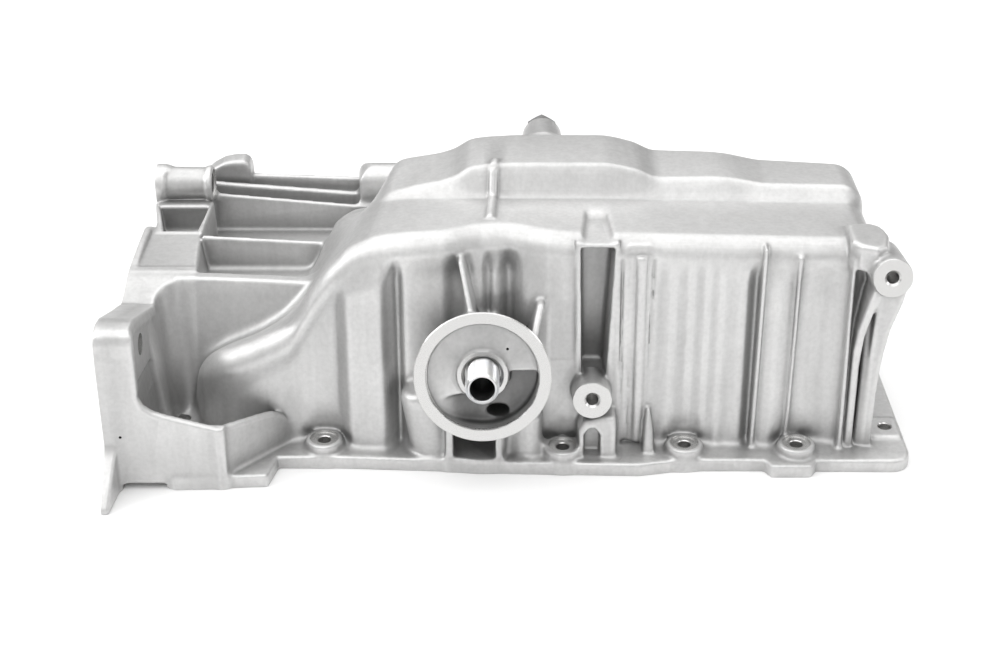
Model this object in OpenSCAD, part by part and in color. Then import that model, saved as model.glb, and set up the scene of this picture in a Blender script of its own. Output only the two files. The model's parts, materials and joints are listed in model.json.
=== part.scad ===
// Cast aluminium engine oil pan with a side filter mounting pad.
// It lies as on a bench: block joint face down on z = 0, pan floor up.
// The origin is the middle of the block joint face, +X runs to the timing end,
// -X to the transmission end, and -Y is the filter side.

/* [Overall] */
// Length from the transmission face to the timing end
pan_length = 452; // [440:1:470]
// Width of the block flange
flange_width = 208; // [200:1:216]
// Thickness of the block flange
flange_thick = 7.5; // [6:0.5:10]
// Thickness of the cast walls
wall = 5; // [4.5:0.5:5.5]

/* [Sump] */
// Height of the pan floor along the filter side
floor_height = 135; // [128:1:142]
// Extra height of the raised block over the drain
drain_rise = 17; // [10:1:20]
// Lean of the fluted side wall in degrees
wall_lean = 3.5; // [2:0.5:5]
// Radius of the edge between side wall and floor
edge_radius = 11; // [8:1:14]

/* [Filter pad] */
// Outside diameter of the machined filter face
pad_diameter = 76; // [74:1:80]
// Inside diameter of the sealing ring of the filter face
pad_seal_inner = 61.4; // [58:0.2:64]
// Upward tilt of the filter face in degrees
pad_tilt = 8; // [4:1:10]
// Depth of the ring-shaped oil recess in the filter face
pad_recess = 10; // [6:1:12]
// Outside diameter of the filter nipple thread
nipple_diameter = 18.6; // [18:0.1:19.2]
// Bore of the filter nipple
nipple_bore = 13.3; // [12:0.1:14]
// How far the nipple stands out of the filter face
nipple_reach = 17; // [12:1:20]

/* [Fixings] */
// Diameter of the block flange bolt holes
bolt_hole = 7.4; // [6.6:0.1:8.5]
// Diameter of the bolt seats on the flange
bolt_seat = 18; // [16:1:20]
// Diameter of the transmission bolt holes
bell_hole = 12.5; // [11:0.5:13]
// Diameter of the tapped holes in the bracket bosses
tapped_hole = 6.8; // [6:0.1:7.2]
// Outside diameter of the bracket bosses
bracket_boss = 21; // [19:1:23]
// Diameter of the drain plug thread
drain_thread = 14; // [12:1:16]

/* [Transmission end] */
// Height of the ribs over the transmission end
rib_top = 85; // [80:1:90]
// Thickness of the transmission flange
bell_thick = 9; // [8:1:12]

/* [Hidden] */
$fn = 48;
cut = 1;
x_bell = -pan_length / 2;
x_end = pan_length / 2;
y_edge = flange_width / 2;

// Sump ends, and the foot of the fluted wall and of the far wall
sump_left = -190;
sump_right = 202;
wall_foot = -84;
far_foot = 82;
end_round = 13;
near_step = -22;
far_step = -10;
far_edge = 38;
far_round = 7;

// Places of the block flange bolts, mirrored to the far side unless named
near_bolts = [[-108.5, -86], [27.6, -93.5], [97, -91], [160.8, -91]];
far_bolts = [[-108.5, 91], [-40, 91], [27.6, 91], [97, 91], [160.8, 91]];
end_bolts = [[216, -67], [216, 0], [216, 67], [-193, -60]];

// Face centres of the filter pad and of the two bracket bosses
pad_face = [-17.5, -113, 68];
mid_boss = [43.5, -99, 45.5];
top_boss = [204, -96, 120];
drain_face = [17.5, 60, 139];
near_lug = [-91, 77];
far_lug = [92, 93.5];

function clamp01(t) = min(max(t, 0), 1);
function ease(t) = let (c = clamp01(t)) c * c * (3 - 2 * c);
function mix(a, b, t) = a + (b - a) * t;

// Value of a short curve, softened over a span on both sides
function soft(x, curve, span) =
    (lookup(x - span, curve) + 2 * lookup(x, curve) + lookup(x + span, curve)) / 4;

// How far the filter side wall stands out, along the length
relief = [
    [-125, 0], [-97, 0], [-93, 3], [-83, 4.5], [-73, 4], [-69, 0], [-65, -6], [-61, 0],
    [-58, -3], [-39, -4], [-33, -8], [-27, -9], [-23, -5], [-18.5, -5], [-15, -10],
    [-11, -7], [-8, -9], [-3.5, -14], [0, -12], [4, -3], [8, -2], [35, -1], [58, 0],
    [81, -1], [130, 0], [134, 0.5], [139, -4], [145, -1], [151, 1.5], [156, -2],
    [173, -4], [184, 0], [192, -3], [199, -3]
];
// How far the floor edge above that wall is set back
edge_back = [[-60, 0], [-38, 3], [-20, 11], [-6, 13], [4, 9], [20, 3], [35, 0]];
// Floor height over the sump end: near the fluted wall, 60 mm and 110 mm behind it
end_slope_near = [
    [-178, 48], [-150, 66], [-125, 79], [-116, 97], [-106, 112], [-94, 124], [-78, 131], [-60, 135]
];
end_slope_mid = [
    [-190, 9], [-187, 28], [-180, 38], [-169, 45], [-150, 53], [-135, 63], [-119, 81], [-106, 105],
    [-93, 122], [-78, 131], [-60, 135]
];
end_slope_far = [
    [-190, 8], [-150, 50], [-135, 64], [-123, 80], [-115, 100], [-109, 118], [-103, 130],
    [-97, 134], [-60, 135]
];
// Height of the far part of the floor above the near part
step_rise = [
    [-88, 0], [-80, 1], [-62, 3], [-44, 6], [-35, 9], [-26, 15], [-17, 16.5], [0, 17.5],
    [54, 17.5], [63, 16], [72, 14], [77, 11.5], [82, 9.5], [99, 10], [117, 10.5], [126, 10],
    [135, 8.5], [144, 7], [202, 7]
];

function rise(x) = lookup(x, step_rise) * drain_rise / 17;
function plateau(x) = floor_height - 0.022 * max(x - 50, 0);
// The sump end surface leans over more and more towards the far side
function end_lag(y) = 0.0011 * pow(max(y + 74, 0), 2);
function floor_z(x, y) =
    let (
        xs = x - end_lag(min(y, 40)),
        near = soft(xs, end_slope_near, 5),
        mid = soft(xs, end_slope_mid, 5),
        far = soft(xs, end_slope_far, 4),
        slope = mix(mix(near, mid, ease((y + 74) / 50)), far, ease((y + 20) / 45)),
        step = rise(x) * ease((y - near_step) / (far_step - near_step))
    )
    min(slope, floor_height) + plateau(x) - floor_height + step * ease((x + 90) / 20);

function end_inset(x) =
    let (d = max(x - (sump_right - end_round), 0))
    end_round - sqrt(max(pow(end_round, 2) - d * d, 0));
// At the transmission end the wall turns the corner in plan
function corner_back(x) = 46 * pow(clamp01((-162 - x) / 28), 1.7);
function wall_y(x, z, top) =
    let (
        high = ease((z - top + 38) / 32),
        out = mix(lookup(x, relief), -lookup(x, edge_back), high)
    )
    wall_foot + (z - flange_thick) * tan(wall_lean) - out + corner_back(x) + end_inset(x);
function far_y(x) = far_edge - 0.09 * max(x - 60, 0) - end_inset(x);

// Outline of the sump across its length at x, set in by t: up the fluted wall,
// over its round edge, across the floor and its step, down the far wall and ledge
function section(x, t, levels, turns) =
    let (
        base = flange_thick - 4,
        z_near = max(floor_z(x, -70 + corner_back(x)) - end_inset(x) - t, base + 4),
        r = min(edge_radius, (z_near - base) / 2),
        z_turn = z_near - r,
        y_turn = wall_y(x, z_turn, z_near) + t,
        y_top = y_turn + r,
        y_far = max(far_y(x) - t, y_top + 14),
        z_far = max(floor_z(x, y_far) - end_inset(x) - t, base + 3),
        z_ledge = min(58, z_far - 12) - t,
        y_foot = far_foot - t - end_inset(x)
    )
    concat(
        [for (k = levels) let (z = mix(base, z_turn, k)) [wall_y(x, z, z_near) + t, z]],
        [for (a = turns) [y_turn + r * (1 - cos(a)), z_turn + r * sin(a)]],
        [
            for (y = [near_step, mix(near_step, far_step, 0.35), mix(near_step, far_step, 0.65),
                    far_step])
                let (k = (y - near_step) / (far_step - near_step))
                let (yy = max(min(y, y_far - 9 + k), y_top + 1 + k))
                [yy, max(floor_z(x, yy) - end_inset(x) - t, base + 3.5)]
        ],
        [for (a = [90, 45, 0])
                [y_far - far_round * (1 - cos(a)), low(z_far - far_round * (1 - sin(a)))]],
        [
            [y_far + 8, low(min(z_ledge + 16, z_far - far_round - 3))],
            [y_far + 18, low(z_ledge)],
            [y_foot - 7, low(z_ledge - 1)],
            [y_foot - 1, low(z_ledge - 8)],
            [y_foot, base]
        ]
    );
function low(z) = max(z, flange_thick - 3.5);

// Stations along the sump: every point of the list, with fill-ins between
function stations(list, step) = [
    for (i = [0:len(list) - 2])
        let (n = ceil((list[i + 1] - list[i]) / step))
        for (k = [0:n - 1]) mix(list[i], list[i + 1], k / n),
    list[len(list) - 1]
];

// Quads between neighbouring stations of one skin, as triangles
function skin(first, count, n, flip) = [
    for (i = [0:count - 2])
        for (j = [0:n - 2])
            let (a = first + i * n + j, b = a + 1, c = b + n, d = a + n)
            for (f = flip ? [[a, c, b], [a, d, c]] : [[a, b, c], [a, c, d]]) f
];
function strip(a, b, c, d) = [[a, b, c], [a, c, d]];

// The sump as one shell: outer skin, inner skin and the rim that joins their feet
module sump_shell(xs) {
    count = len(xs);
    span = sump_right - sump_left;
    xi = [for (x = xs) sump_left + 12 + (x - sump_left) * (span - 12 - wall) / span];
    outer = [for (x = xs) section(x, 0, [0, 0.7, 1], [45, 90])];
    inner = [for (x = xi) section(x, wall, [0, 0.7, 1], [])];
    n = len(outer[0]);
    m = len(inner[0]);
    o = 0;
    i = count * n;
    mids = i + count * m;
    base = flange_thick - 4;
    points = concat(
        [for (k = [0:count - 1]) for (p = outer[k]) [xs[k], p[0], p[1]]],
        [for (k = [0:count - 1]) for (p = inner[k]) [xi[k], p[0], p[1]]],
        [for (x = [xs[0], xi[0], xs[count - 1], xi[count - 1]]) [x, 0, base]]
    );
    last = count - 1;
    faces = concat(
        skin(o, count, n, false),
        skin(i, count, m, true),
        [for (k = [0:last - 1]) for (f = strip(o + k * n, o + (k + 1) * n, i + (k + 1) * m, i + k * m)) f],
        [
            for (k = [0:last - 1])
                for (f = strip(o + (k + 1) * n + n - 1, o + k * n + n - 1, i + k * m + m - 1,
                        i + (k + 1) * m + m - 1)) f
        ],
        [concat([mids], [for (j = [n - 1:-1:0]) o + j])],
        [concat([mids + 1], [for (j = [0:m - 1]) i + j])],
        [concat([mids + 2], [for (j = [0:n - 1]) o + last * n + j])],
        [concat([mids + 3], [for (j = [m - 1:-1:0]) i + last * m + j])],
        [[mids, o, i, mids + 1], [mids + 1, i + m - 1, o + n - 1, mids]],
        [[mids + 3, i + last * m, o + last * n, mids + 2]],
        [[mids + 2, o + last * n + n - 1, i + last * m + m - 1, mids + 3]]
    );
    polyhedron(points = points, faces = faces, convexity = 6);
}

module shell() {
    relief_x = [for (p = relief) if (p[0] > -120 && p[0] < sump_right - end_round) p[0]];
    turn = [for (a = [0, 35, 65, 90]) sump_right - end_round + (end_round - 0.3) * sin(a)];
    sump_shell(stations(concat([sump_left, -186, -181, -174, -164, -120], relief_x, turn), 7));
}

// Extrusions of an outline drawn from the side, along X and along Y
module along_x(x0, x1) {
    translate([x0, 0, 0]) rotate([90, 0, 90]) linear_extrude(x1 - x0) children();
}
module along_y(y0, y1) {
    translate([0, y1, 0]) rotate([90, 0, 0]) linear_extrude(y1 - y0) children();
}
// Local frame of a machined face that looks out of the fluted side
module on_face(place) {
    translate(place) rotate([90 - pad_tilt, 0, 0]) children();
}
// Outline with every corner rounded
module rounded(r) {
    offset(r = r, $fn = 24) offset(delta = -r) children();
}

// Block flange with its bolt seats and the opening into the sump
module block_flange() {
    difference() {
        linear_extrude(flange_thick) difference() {
            rounded(5) polygon([
                [x_bell, -115], [-193, -115], [-190, -120], [-138, -117], [-134, -98], [-99, -98],
                [-45, -101], [0, -y_edge], [71, -y_edge - 2], [95, -101], [142, -101], [147, -108],
                [173, -108], [178, -102], [x_end, -102], [x_end, 102], [178, 101], [120, 101],
                [71, y_edge], [0, 101], [-70, 101], [-80, 121], [x_bell, 121]
            ]);
            rounded(9) polygon([
                [-174, -8], [-160, -50], [-146, -64], [189, -64], [189, 72], [-140, 72],
                [-150, 50], [-168, 20]
            ]);
        }
    }
    for (p = concat(near_bolts, far_bolts)) translate(p) cylinder(d = bolt_seat, h = 12);
    for (p = end_bolts) translate(p) cylinder(d = bolt_seat - 2, h = 9);
}

// Upright flange that meets the transmission: plate, leaning inner side and two bolt lugs
module bell_flange() {
    along_x(x_bell, x_bell + bell_thick) polygon(concat(
        [[-145, 0], [-145, 3], [-119, 29]],
        [for (a = [180, 150, 120, 90]) [-109 + 10 * cos(a), 88 + 10 * sin(a)]],
        [[-99, 97], [-45, 77], [-34, 79], [-22, 83], [-6, 86], [17, 87], [40, 87], [56, 84], [78, 84]],
        [for (a = [200, 160, 125, 90, 55]) far_lug + 11.2 * [cos(a), sin(a)]],
        [[119, 84], [119, 29], [145, 3], [145, 0]]
    ));
    along_y(-116, -20) polygon([
        [x_bell + 2, 2], [x_bell + 2, 74], [-209.5, 74], [-198, 8], [-198, 2]
    ]);
    along_x(x_bell + 2, -208) polygon([
        [-116, 93], [-108, 95.5], [-98, 94.5], [-54, 75.5], [-43, 48], [-98, 53], [-116, 53]
    ]);
    along_x(x_bell, -192) translate(far_lug) circle(d = bell_hole + 7);
    along_x(x_bell, -221) translate(far_lug) circle(d = bell_hole + 11.5);
    along_x(-198, -191) translate(far_lug) circle(d = bell_hole + 10);
}

// Wall in front of the transmission end: tall post, low run and slanted return
module near_wall() {
    along_y(-119, -114) polygon([
        [x_bell, 1], [x_bell, 90], [-222, 97], [-206.5, 97], [-205.5, 58], [-203, 52], [-199, 49],
        [-191, 46], [-165, 38], [-160, 38], [-160, 1]
    ]);
    along_x(x_bell, -206.5) polygon([
        [-119, 84], [-117, 93], [-112, 97.5], [-106, 98.5], [-99, 97], [-45, 77], [-46.5, 72],
        [-99, 90]
    ]);
    translate([-163, -119, 0]) rotate([0, 0, 49]) along_y(0, 5)
        polygon([[0, 1], [0, 38], [33, 32], [40, 31], [50, 23], [53, 19], [53, 1]]);
}

// Outer wall of the far side, its double rib, the ear and the ramp behind the sump
module far_wall() {
    along_y(114, 119) polygon([[x_bell + 1, 1], [x_bell + 1, 84], [-100, 79], [-84, 78], [-84, 1]]);
    along_y(125, 129) polygon([[-205, 48], [-205, 86], [-104, 80], [-104, 60]]);
    along_y(118, 126) polygon([[-205, 52], [-205, 78], [-104, 73], [-104, 62]]);
    along_x(-84, -79) polygon([[70, 1], [70, 76], [119, 76], [119, 1]]);
    along_y(120, 138) polygon([
        [-198, 60], [-198, 90], [-194, 94.5], [-187, 98.5], [-182, 99.5], [-174, 99.5],
        [-171, 98], [-169, 94], [-168, 86], [-167, 60]
    ]);
}

// Ribbed deck over the transmission end
module deck() {
    // Deck plate, falling slightly to the far side
    along_x(x_bell + 4, -103) polygon([
        [-22, 66], [33, 64.5], [97, 59], [116, 58], [116, 55], [42, 55], [30, 60], [-22, 61.5]
    ]);
    // Wall that backs the deep pocket, leaning to the sump
    along_x(x_bell + 4, -160) polygon([[-24, rib_top - 1], [-16, rib_top - 1], [-16, 60],
        [-38, 2], [-46, 2], [-46, 8]]);
    along_x(-161, -114) polygon([[-24, rib_top - 3], [-16, rib_top - 3], [-16, 60], [-34, 40]]);
    // Longitudinal ribs
    along_y(27, 30.5) polygon([[-196, 60], [-196, rib_top - 1], [-103, 80], [-103, 60]]);
    along_y(95, 99) polygon([[x_bell + 4, 54], [x_bell + 4, rib_top - 1], [-91, 75], [-91, 55]]);
    // Raised land behind the transmission flange
    along_x(x_bell + 4, -187) polygon([[-23, 60], [-23, rib_top - 1], [46, rib_top - 1], [46, 60]]);
    // Frame of the small pocket beside the land
    difference() {
        linear_z(59, rib_top + 1) polygon([[-224, 40], [-186.5, 40], [-180, 86], [-224, 86]]);
        linear_z(66, rib_top + 5) polygon([[-221, 43], [-197, 43], [-188, 82], [-221, 82]]);
    }
}
module linear_z(z0, z1) {
    translate([0, 0, z0]) linear_extrude(z1 - z0) children();
}

// Filter pad, its neck, the gallery body below it and the ribs that brace it
module filter_pad() {
    on_face(pad_face) {
        rotate_extrude($fn = 96) polygon([
            [0, -13], [pad_diameter / 2, -13], [pad_diameter / 2, -2], [pad_diameter / 2 - 1.6, 0],
            [0, 0]
        ]);
        translate([0, 0, -42]) cylinder(r = 29, h = 34);
    }
    hull() {
        translate([-42, -86, 2]) cylinder(r = 12, h = 16, $fn = 32);
        on_face(pad_face) translate([-8, -12, -16]) cylinder(r = 23, h = 4, $fn = 32);
    }
    translate([-39, -101, 1]) cube([32, 36, 36]);
    translate([7, -91, 1]) cylinder(r = 7, h = 32);
    translate([-25.5, 0, 98]) rotate([0, -16, 0])
        along_x(-1.5, 1.5) polygon([[-66, 30], [-80, 30], [-104, 0], [-104, -30], [-66, -30]]);
    translate([9.5, 0, 86]) rotate([0, 14, 0])
        along_x(-2.2, 2.2) polygon([[-72, 20], [-85, 20], [-105, 0], [-105, -34], [-72, -34]]);
    translate([-44, -84, 2]) rotate([0, -9, 0]) cylinder(r = 12, h = 50);
}

// Tapped bracket bosses: one below the slot, one on the column at the timing end
module bracket_bosses() {
    on_face(mid_boss) translate([0, 0, -30]) cylinder(d = bracket_boss, h = 30);
    on_face(top_boss) translate([0, 0, -34]) cylinder(d = bracket_boss + 1, h = 34);
    hull() {
        translate([198, -72, 100]) cylinder(r = 13, h = floor_height - 100, $fn = 32);
        on_face(top_boss) translate([0, 0, -24]) cylinder(d = bracket_boss, h = 8, $fn = 32);
    }
    translate([192, -80, 2]) cylinder(r = 4, h = 112);
    translate([203, -82, 2]) cylinder(r = 4.5, h = 116);
    translate([192, -80, 2]) cube([12, 20, 112]);
}

// Upright fins, the framed round rib and the closed pocket of the fluted wall
module wall_features() {
    leaning([135.6, -89, 4], [2.4, 9, 124]);
    leaning([155.5, -86, 60], [2, 6, 64]);
    leaning([185.5, -91, 4], [2.6, 12, 108]);
    leaning([57.5, -86, 4], [2, 5, 120]);
    leaning([78, -86, 4], [2, 5, 120]);
    translate([66.8, -84.5, 4]) rotate([-wall_lean, 0, 0]) cylinder(r = 5.8, h = 118);
    along_y(-78, -46) polygon([[31, 132], [59, 132], [56, 34], [31, 34]]);
    translate([33, -74, 120]) cube([27, 50, 13]);
}
module leaning(place, size) {
    translate(place) rotate([-wall_lean, 0, 0]) cube(size);
}

// Boss for the drain plug, at the far side of the raised floor block
module drain_boss() {
    translate(drain_face) rotate([90, 0, 0]) cylinder(r = 12.5, h = 24);
}

// Everything that the foundry cores and the machining take out
module openings() {
    // Filter face: oil ring, deep corner, centre boss mouth, gallery mouth
    on_face(pad_face) {
        rotate_extrude($fn = 96) polygon([
            [14.3, -pad_recess], [pad_seal_inner / 2, -pad_recess], [pad_seal_inner / 2, 1], [0, 1],
            [0, -2.5], [12.6, -2.5], [14.3, -3.6]
        ]);
        rotate_extrude() polygon([[0, -2], [11.8, -2], [10.4, -4.5], [10.4, -9], [0, -9]]);
        translate([0, 0, -34]) cylinder(d = nipple_bore, h = 34);
        translate([0, 0, -24]) cylinder(d = nipple_diameter, h = 24);
        intersection() {
            translate([0, 0, -pad_recess - 6]) cylinder(r = pad_seal_inner / 2 - 1.5, h = 8);
            translate([15.5, -22, -pad_recess - 6]) cube([20, 26, 8]);
        }
        translate([8, -18, -34]) cylinder(r = 5, h = 30);
    }
    // Oil ways up from the joint face
    translate([-46, -84, -cut]) cylinder(d = 11, h = 46);
    translate([7, -91, -cut]) cylinder(d = 6.5, h = 28);
    // Window under the filter pad
    translate([-34, -110, 9.5]) cube([23, 38, 15]);
    // Closed pocket in the fluted wall, with the bracket boss at its foot, and the channel over it
    difference() {
        along_y(-130, -52) polygon([[35.5, 128.5], [54.8, 128.5], [51, 46], [38, 46]]);
        on_face(mid_boss) translate([0, 0, -26]) cylinder(d = bracket_boss, h = 26);
    }
    along_x(37, 54) polygon([[-100, 131], [-38, 131], [-23, 138], [-23, 145], [-100, 145]]);
    for (f = [mid_boss, top_boss]) on_face(f) {
        translate([0, 0, -22]) cylinder(d = tapped_hole, h = 23);
        translate([0, 0, -1]) cylinder(d1 = tapped_hole, d2 = tapped_hole + 4, h = 2.01);
    }
    // Bolt holes of the block flange
    for (p = concat(near_bolts, far_bolts, end_bolts))
        translate([p[0], p[1], -cut]) cylinder(d = bolt_hole, h = 20);
    // Bolt holes of the transmission flange
    along_x(x_bell - cut, -200) translate(near_lug) circle(d = bell_hole);
    along_x(x_bell - cut, -186) translate(far_lug) circle(d = bell_hole);
    along_x(-192, -178) translate(far_lug) circle(d = bell_hole + 7);
    // Core opening of the dry bay under the deck
    along_x(x_bell - cut, x_bell + 20) rounded(6) polygon([[-14, 14], [84, 14], [84, 48], [-14, 52]]);
    // Drain bore
    translate(drain_face) rotate([90, 0, 0]) translate([0, 0, -cut]) cylinder(d = drain_thread, h = 40);
}

module pan_casting() {
    color("gainsboro")
    difference() {
        union() {
            shell();
            union() {
                block_flange();
                bell_flange();
                near_wall();
                far_wall();
                deck();
                filter_pad();
                bracket_bosses();
                wall_features();
                drain_boss();
            }
        }
        openings();
    }
}

module filter_nipple() {
    r = nipple_diameter / 2;
    bore = nipple_bore / 2;
    // Inner thread, run-out groove level with the boss mouth, and outer thread with its lead
    color("silver") on_face(pad_face) rotate_extrude($fn = 96) polygon([
        [bore, -22], [r, -22], [r, -8], [r - 0.9, -7], [r - 0.9, -2.5], [r, -1.5],
        [r, nipple_reach - 1.5], [r - 1.2, nipple_reach], [bore, nipple_reach]
    ]);
}

module drain_plug() {
    color("silver") translate(drain_face) rotate([-90, 0, 0]) {
        translate([0, 0, -14]) cylinder(d = drain_thread, h = 16);
        translate([0, 0, 1.5]) cylinder(d = 21, h = 2);
        translate([0, 0, 3.4]) rotate(30) cylinder(d = 17 / cos(30), h = 8, $fn = 6);
    }
}
module drain_washer() {
    color("darkgray") translate(drain_face) rotate([-90, 0, 0]) difference() {
        cylinder(d = 22, h = 1.5);
        translate([0, 0, -cut]) cylinder(d = drain_thread, h = 5);
    }
}

pan_casting();
filter_nipple();
drain_plug();
drain_washer();
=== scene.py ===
import json
import math
import bpy
import numpy as np
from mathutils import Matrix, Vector

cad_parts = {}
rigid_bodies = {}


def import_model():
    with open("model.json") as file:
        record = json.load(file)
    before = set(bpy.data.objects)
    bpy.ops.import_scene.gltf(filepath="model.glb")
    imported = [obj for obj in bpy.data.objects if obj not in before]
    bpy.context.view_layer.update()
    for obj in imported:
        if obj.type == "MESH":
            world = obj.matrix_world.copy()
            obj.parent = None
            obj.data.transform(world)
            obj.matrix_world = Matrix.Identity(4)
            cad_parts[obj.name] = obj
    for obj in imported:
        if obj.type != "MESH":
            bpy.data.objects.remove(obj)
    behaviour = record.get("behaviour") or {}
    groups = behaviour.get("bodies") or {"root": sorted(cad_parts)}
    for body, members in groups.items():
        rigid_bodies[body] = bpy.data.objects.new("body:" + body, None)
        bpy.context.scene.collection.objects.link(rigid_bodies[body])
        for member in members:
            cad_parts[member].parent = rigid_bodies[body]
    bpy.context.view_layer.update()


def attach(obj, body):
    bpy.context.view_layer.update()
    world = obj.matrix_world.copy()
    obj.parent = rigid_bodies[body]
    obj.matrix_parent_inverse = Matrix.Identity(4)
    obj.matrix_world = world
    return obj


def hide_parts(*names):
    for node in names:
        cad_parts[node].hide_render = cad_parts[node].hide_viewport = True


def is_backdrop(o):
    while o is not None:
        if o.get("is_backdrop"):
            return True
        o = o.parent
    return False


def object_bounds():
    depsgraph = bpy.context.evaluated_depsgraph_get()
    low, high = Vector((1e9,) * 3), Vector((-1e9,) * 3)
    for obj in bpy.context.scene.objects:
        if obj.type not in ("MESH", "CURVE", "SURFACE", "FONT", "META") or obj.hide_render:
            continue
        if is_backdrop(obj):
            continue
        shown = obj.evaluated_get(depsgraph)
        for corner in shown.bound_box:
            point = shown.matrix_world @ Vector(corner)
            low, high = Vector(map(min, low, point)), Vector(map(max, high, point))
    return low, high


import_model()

# The pan casting: one aluminium die casting, from the block flange with its bolt seats to the ribbed
# transmission end. It leaves the die with drafted walls and fillets all over, and only its joint faces,
# seats, bores and the filter face are then machined.

# Its form is a field of distances on a grid, below nought inside the metal. Forms are melted on to it and
# cores are taken out of it, all in mm. The skin of the field then becomes the mesh.
wall = 4
flange = 7.5
wall_foot = -84
floor_level = 135.0
bell_face = -226
thread_radius, nipple_bore = 9.3, 6.65
bolt_bore, bracket_bore, lug_bore, drain_bore = 3.7, 3.4, 6.25, 7.0
grid_step = 1.25
grid_low = np.array([-229.5, -148.5, -4.0])
grid_count = np.array([368, 238, 131])
along, across, up = (
    (grid_low[i] + grid_step * np.arange(grid_count[i])).astype(np.float32) for i in range(3)
)
metal = np.full(grid_count, 30, np.float32)
pad_tilt = math.radians(8)
lean = math.tan(math.radians(3.5))
out_of_pad = (0.0, -math.cos(pad_tilt), math.sin(pad_tilt))
up_the_pad = (0.0, math.sin(pad_tilt), math.cos(pad_tilt))
pad_face = (-17.5, -113.0, 68.0)
low_boss = (43.5, -99.0, 45.5)
high_boss = (204.0, -96.0, 120.0)
drain_face = (17.5, 60.0, 139.0)
near_lug = (-91.0, 77.0)
far_lug = (92.0, 93.5)
near_bolts = [(-108.5, -86), (27.6, -93.5), (97, -91), (160.8, -91)]
far_bolts = [(-108.5, 91), (-40, 91), (27.6, 91), (97, 91), (160.8, 91)]
end_bolts = [(216, -67), (216, 0), (216, 67), (-193.5, -55.5)]


def lesser(a, b, k):
    """The lesser of two distances. Where they are within k of each other it is less by up to k/4, in a
    parabola, which leaves a fillet."""
    h = np.maximum(k - np.abs(a - b), 0) / k
    return np.minimum(a, b) - h * h * (k / 4)


def greater(a, b, k):
    """The greater of two distances, with the edge between them rounded over k."""
    return -lesser(-a, -b, k)


def rounded_corner(a, b, r):
    """Two distances met in a true arc of radius r: the length of what each is past -r, less r, or the
    greater of the two where both are deeper than that."""
    arc = np.sqrt(np.maximum(a + r, 0) ** 2 + np.maximum(b + r, 0) ** 2) - r
    return np.where(np.minimum(a, b) > -r, arc, np.maximum(a, b))


def ease(t):
    """A step from 0 to 1 without corners: 3 t squared less 2 t cubed, held at both ends."""
    t = np.clip(t, 0, 1)
    return t * t * (3 - 2 * t)


def curve(table, x, spread=2.0):
    """Values of a table along x, straight between its points and then blurred by a bell of that spread."""
    places, values = np.array(table, float).T
    reach = np.linspace(-2.5, 2.5, 11)
    bell = np.exp(-reach * reach / 2)
    x = np.asarray(x, float)
    return sum(w * np.interp(x + d * spread, places, values) for d, w in zip(reach, bell / bell.sum()))


def room(low, high, margin=8.0):
    """The part of the grid between two corners with a margin: its slices, and x, y and z spread over it."""
    first = np.floor((np.array(low) - margin - grid_low) / grid_step).astype(int)
    last = np.ceil((np.array(high) + margin - grid_low) / grid_step).astype(int) + 1
    part = tuple(slice(a, b) for a, b in zip(np.maximum(first, 0), np.minimum(last, grid_count)))
    return part, along[part[0]][:, None, None], across[part[1]][None, :, None], up[part[2]][None, None]


def melt(low, high, form, fillet=3.0):
    """Joins a form to the metal with a fillet: the lesser of the metal's distance and the form's."""
    part, x, y, z = room(low, high)
    metal[part] = lesser(metal[part], form(x, y, z), fillet)


def core(low, high, form, edge=1.5):
    """Takes a form out of the metal: the greater of the metal's distance and the form's turned about."""
    part, x, y, z = room(low, high)
    metal[part] = greater(metal[part], -form(x, y, z), edge)


def plate(low, high, points, lies_in, front, back, edge, fillet):
    """Melts a flat plate on: an outline in one plane of the grid, as thick as its two faces are apart."""
    def form(x, y, z):
        u, v, w = {"xy": (x, y, z), "xz": (x, z, y), "yz": (y, z, x)}[lies_in]
        return greater(outline(points, u, v), between(w, front, back), edge)
    melt(low, high, form, fillet)


def outline(points, u, v):
    """Distance to a closed outline in a plane: the least distance to any edge, below nought inside, where
    a ray from the point crosses an odd number of edges."""
    nearest, side = 1e9, 1.0
    for (au, av), (bu, bv) in zip(points, points[1:] + points[:1]):
        eu, ev = bu - au, bv - av
        t = np.clip(((u - au) * eu + (v - av) * ev) / (eu * eu + ev * ev), 0, 1)
        nearest = np.minimum(nearest, (u - au - t * eu) ** 2 + (v - av - t * ev) ** 2)
        above, below, left = v >= av, v < bv, eu * (v - av) > ev * (u - au)
        side = np.where((above & below & left) | ~(above | below | left), -side, side)
    return (side * np.sqrt(nearest)).astype(np.float32)


def between(w, low, high):
    """Distance past a slab between two planes: how far w is from its middle, less half its thickness."""
    return np.abs(w - (low + high) / 2) - (high - low) / 2


def upright(y, z):
    """Place of y beside the leaning wall: where it would be at the top of the flange."""
    return y - (z - flange) * lean


def rod(place, axis, radius, start, end, x, y, z, edge=1.0):
    """A round bar: the distance from its axis less its radius, cut off past its two ends."""
    axis = np.array(axis, float) / math.sqrt(sum(a * a for a in axis))
    p = [c - q for c, q in zip((x, y, z), place)]
    s = sum(c * a for c, a in zip(p, axis))
    away = np.sqrt(np.maximum(sum(c * c for c in p) - s * s, 0)) - radius
    return greater(away, between(s, start, end), edge)


def strut(a, b, radius, x, y, z, edge):
    """A round bar from one point to another."""
    span = np.subtract(b, a)
    reach = float(np.sqrt(span @ span))
    return rod(a, span / reach, radius, 0, reach, x, y, z, edge)


def arc(centre, r, start, end, count):
    """Points of an arc in a plane, by the sine and cosine of even angles in degrees."""
    angles = np.radians(np.linspace(start, end, count))
    return [(centre[0] + r * math.cos(a), centre[1] + r * math.sin(a)) for a in angles]


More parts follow.
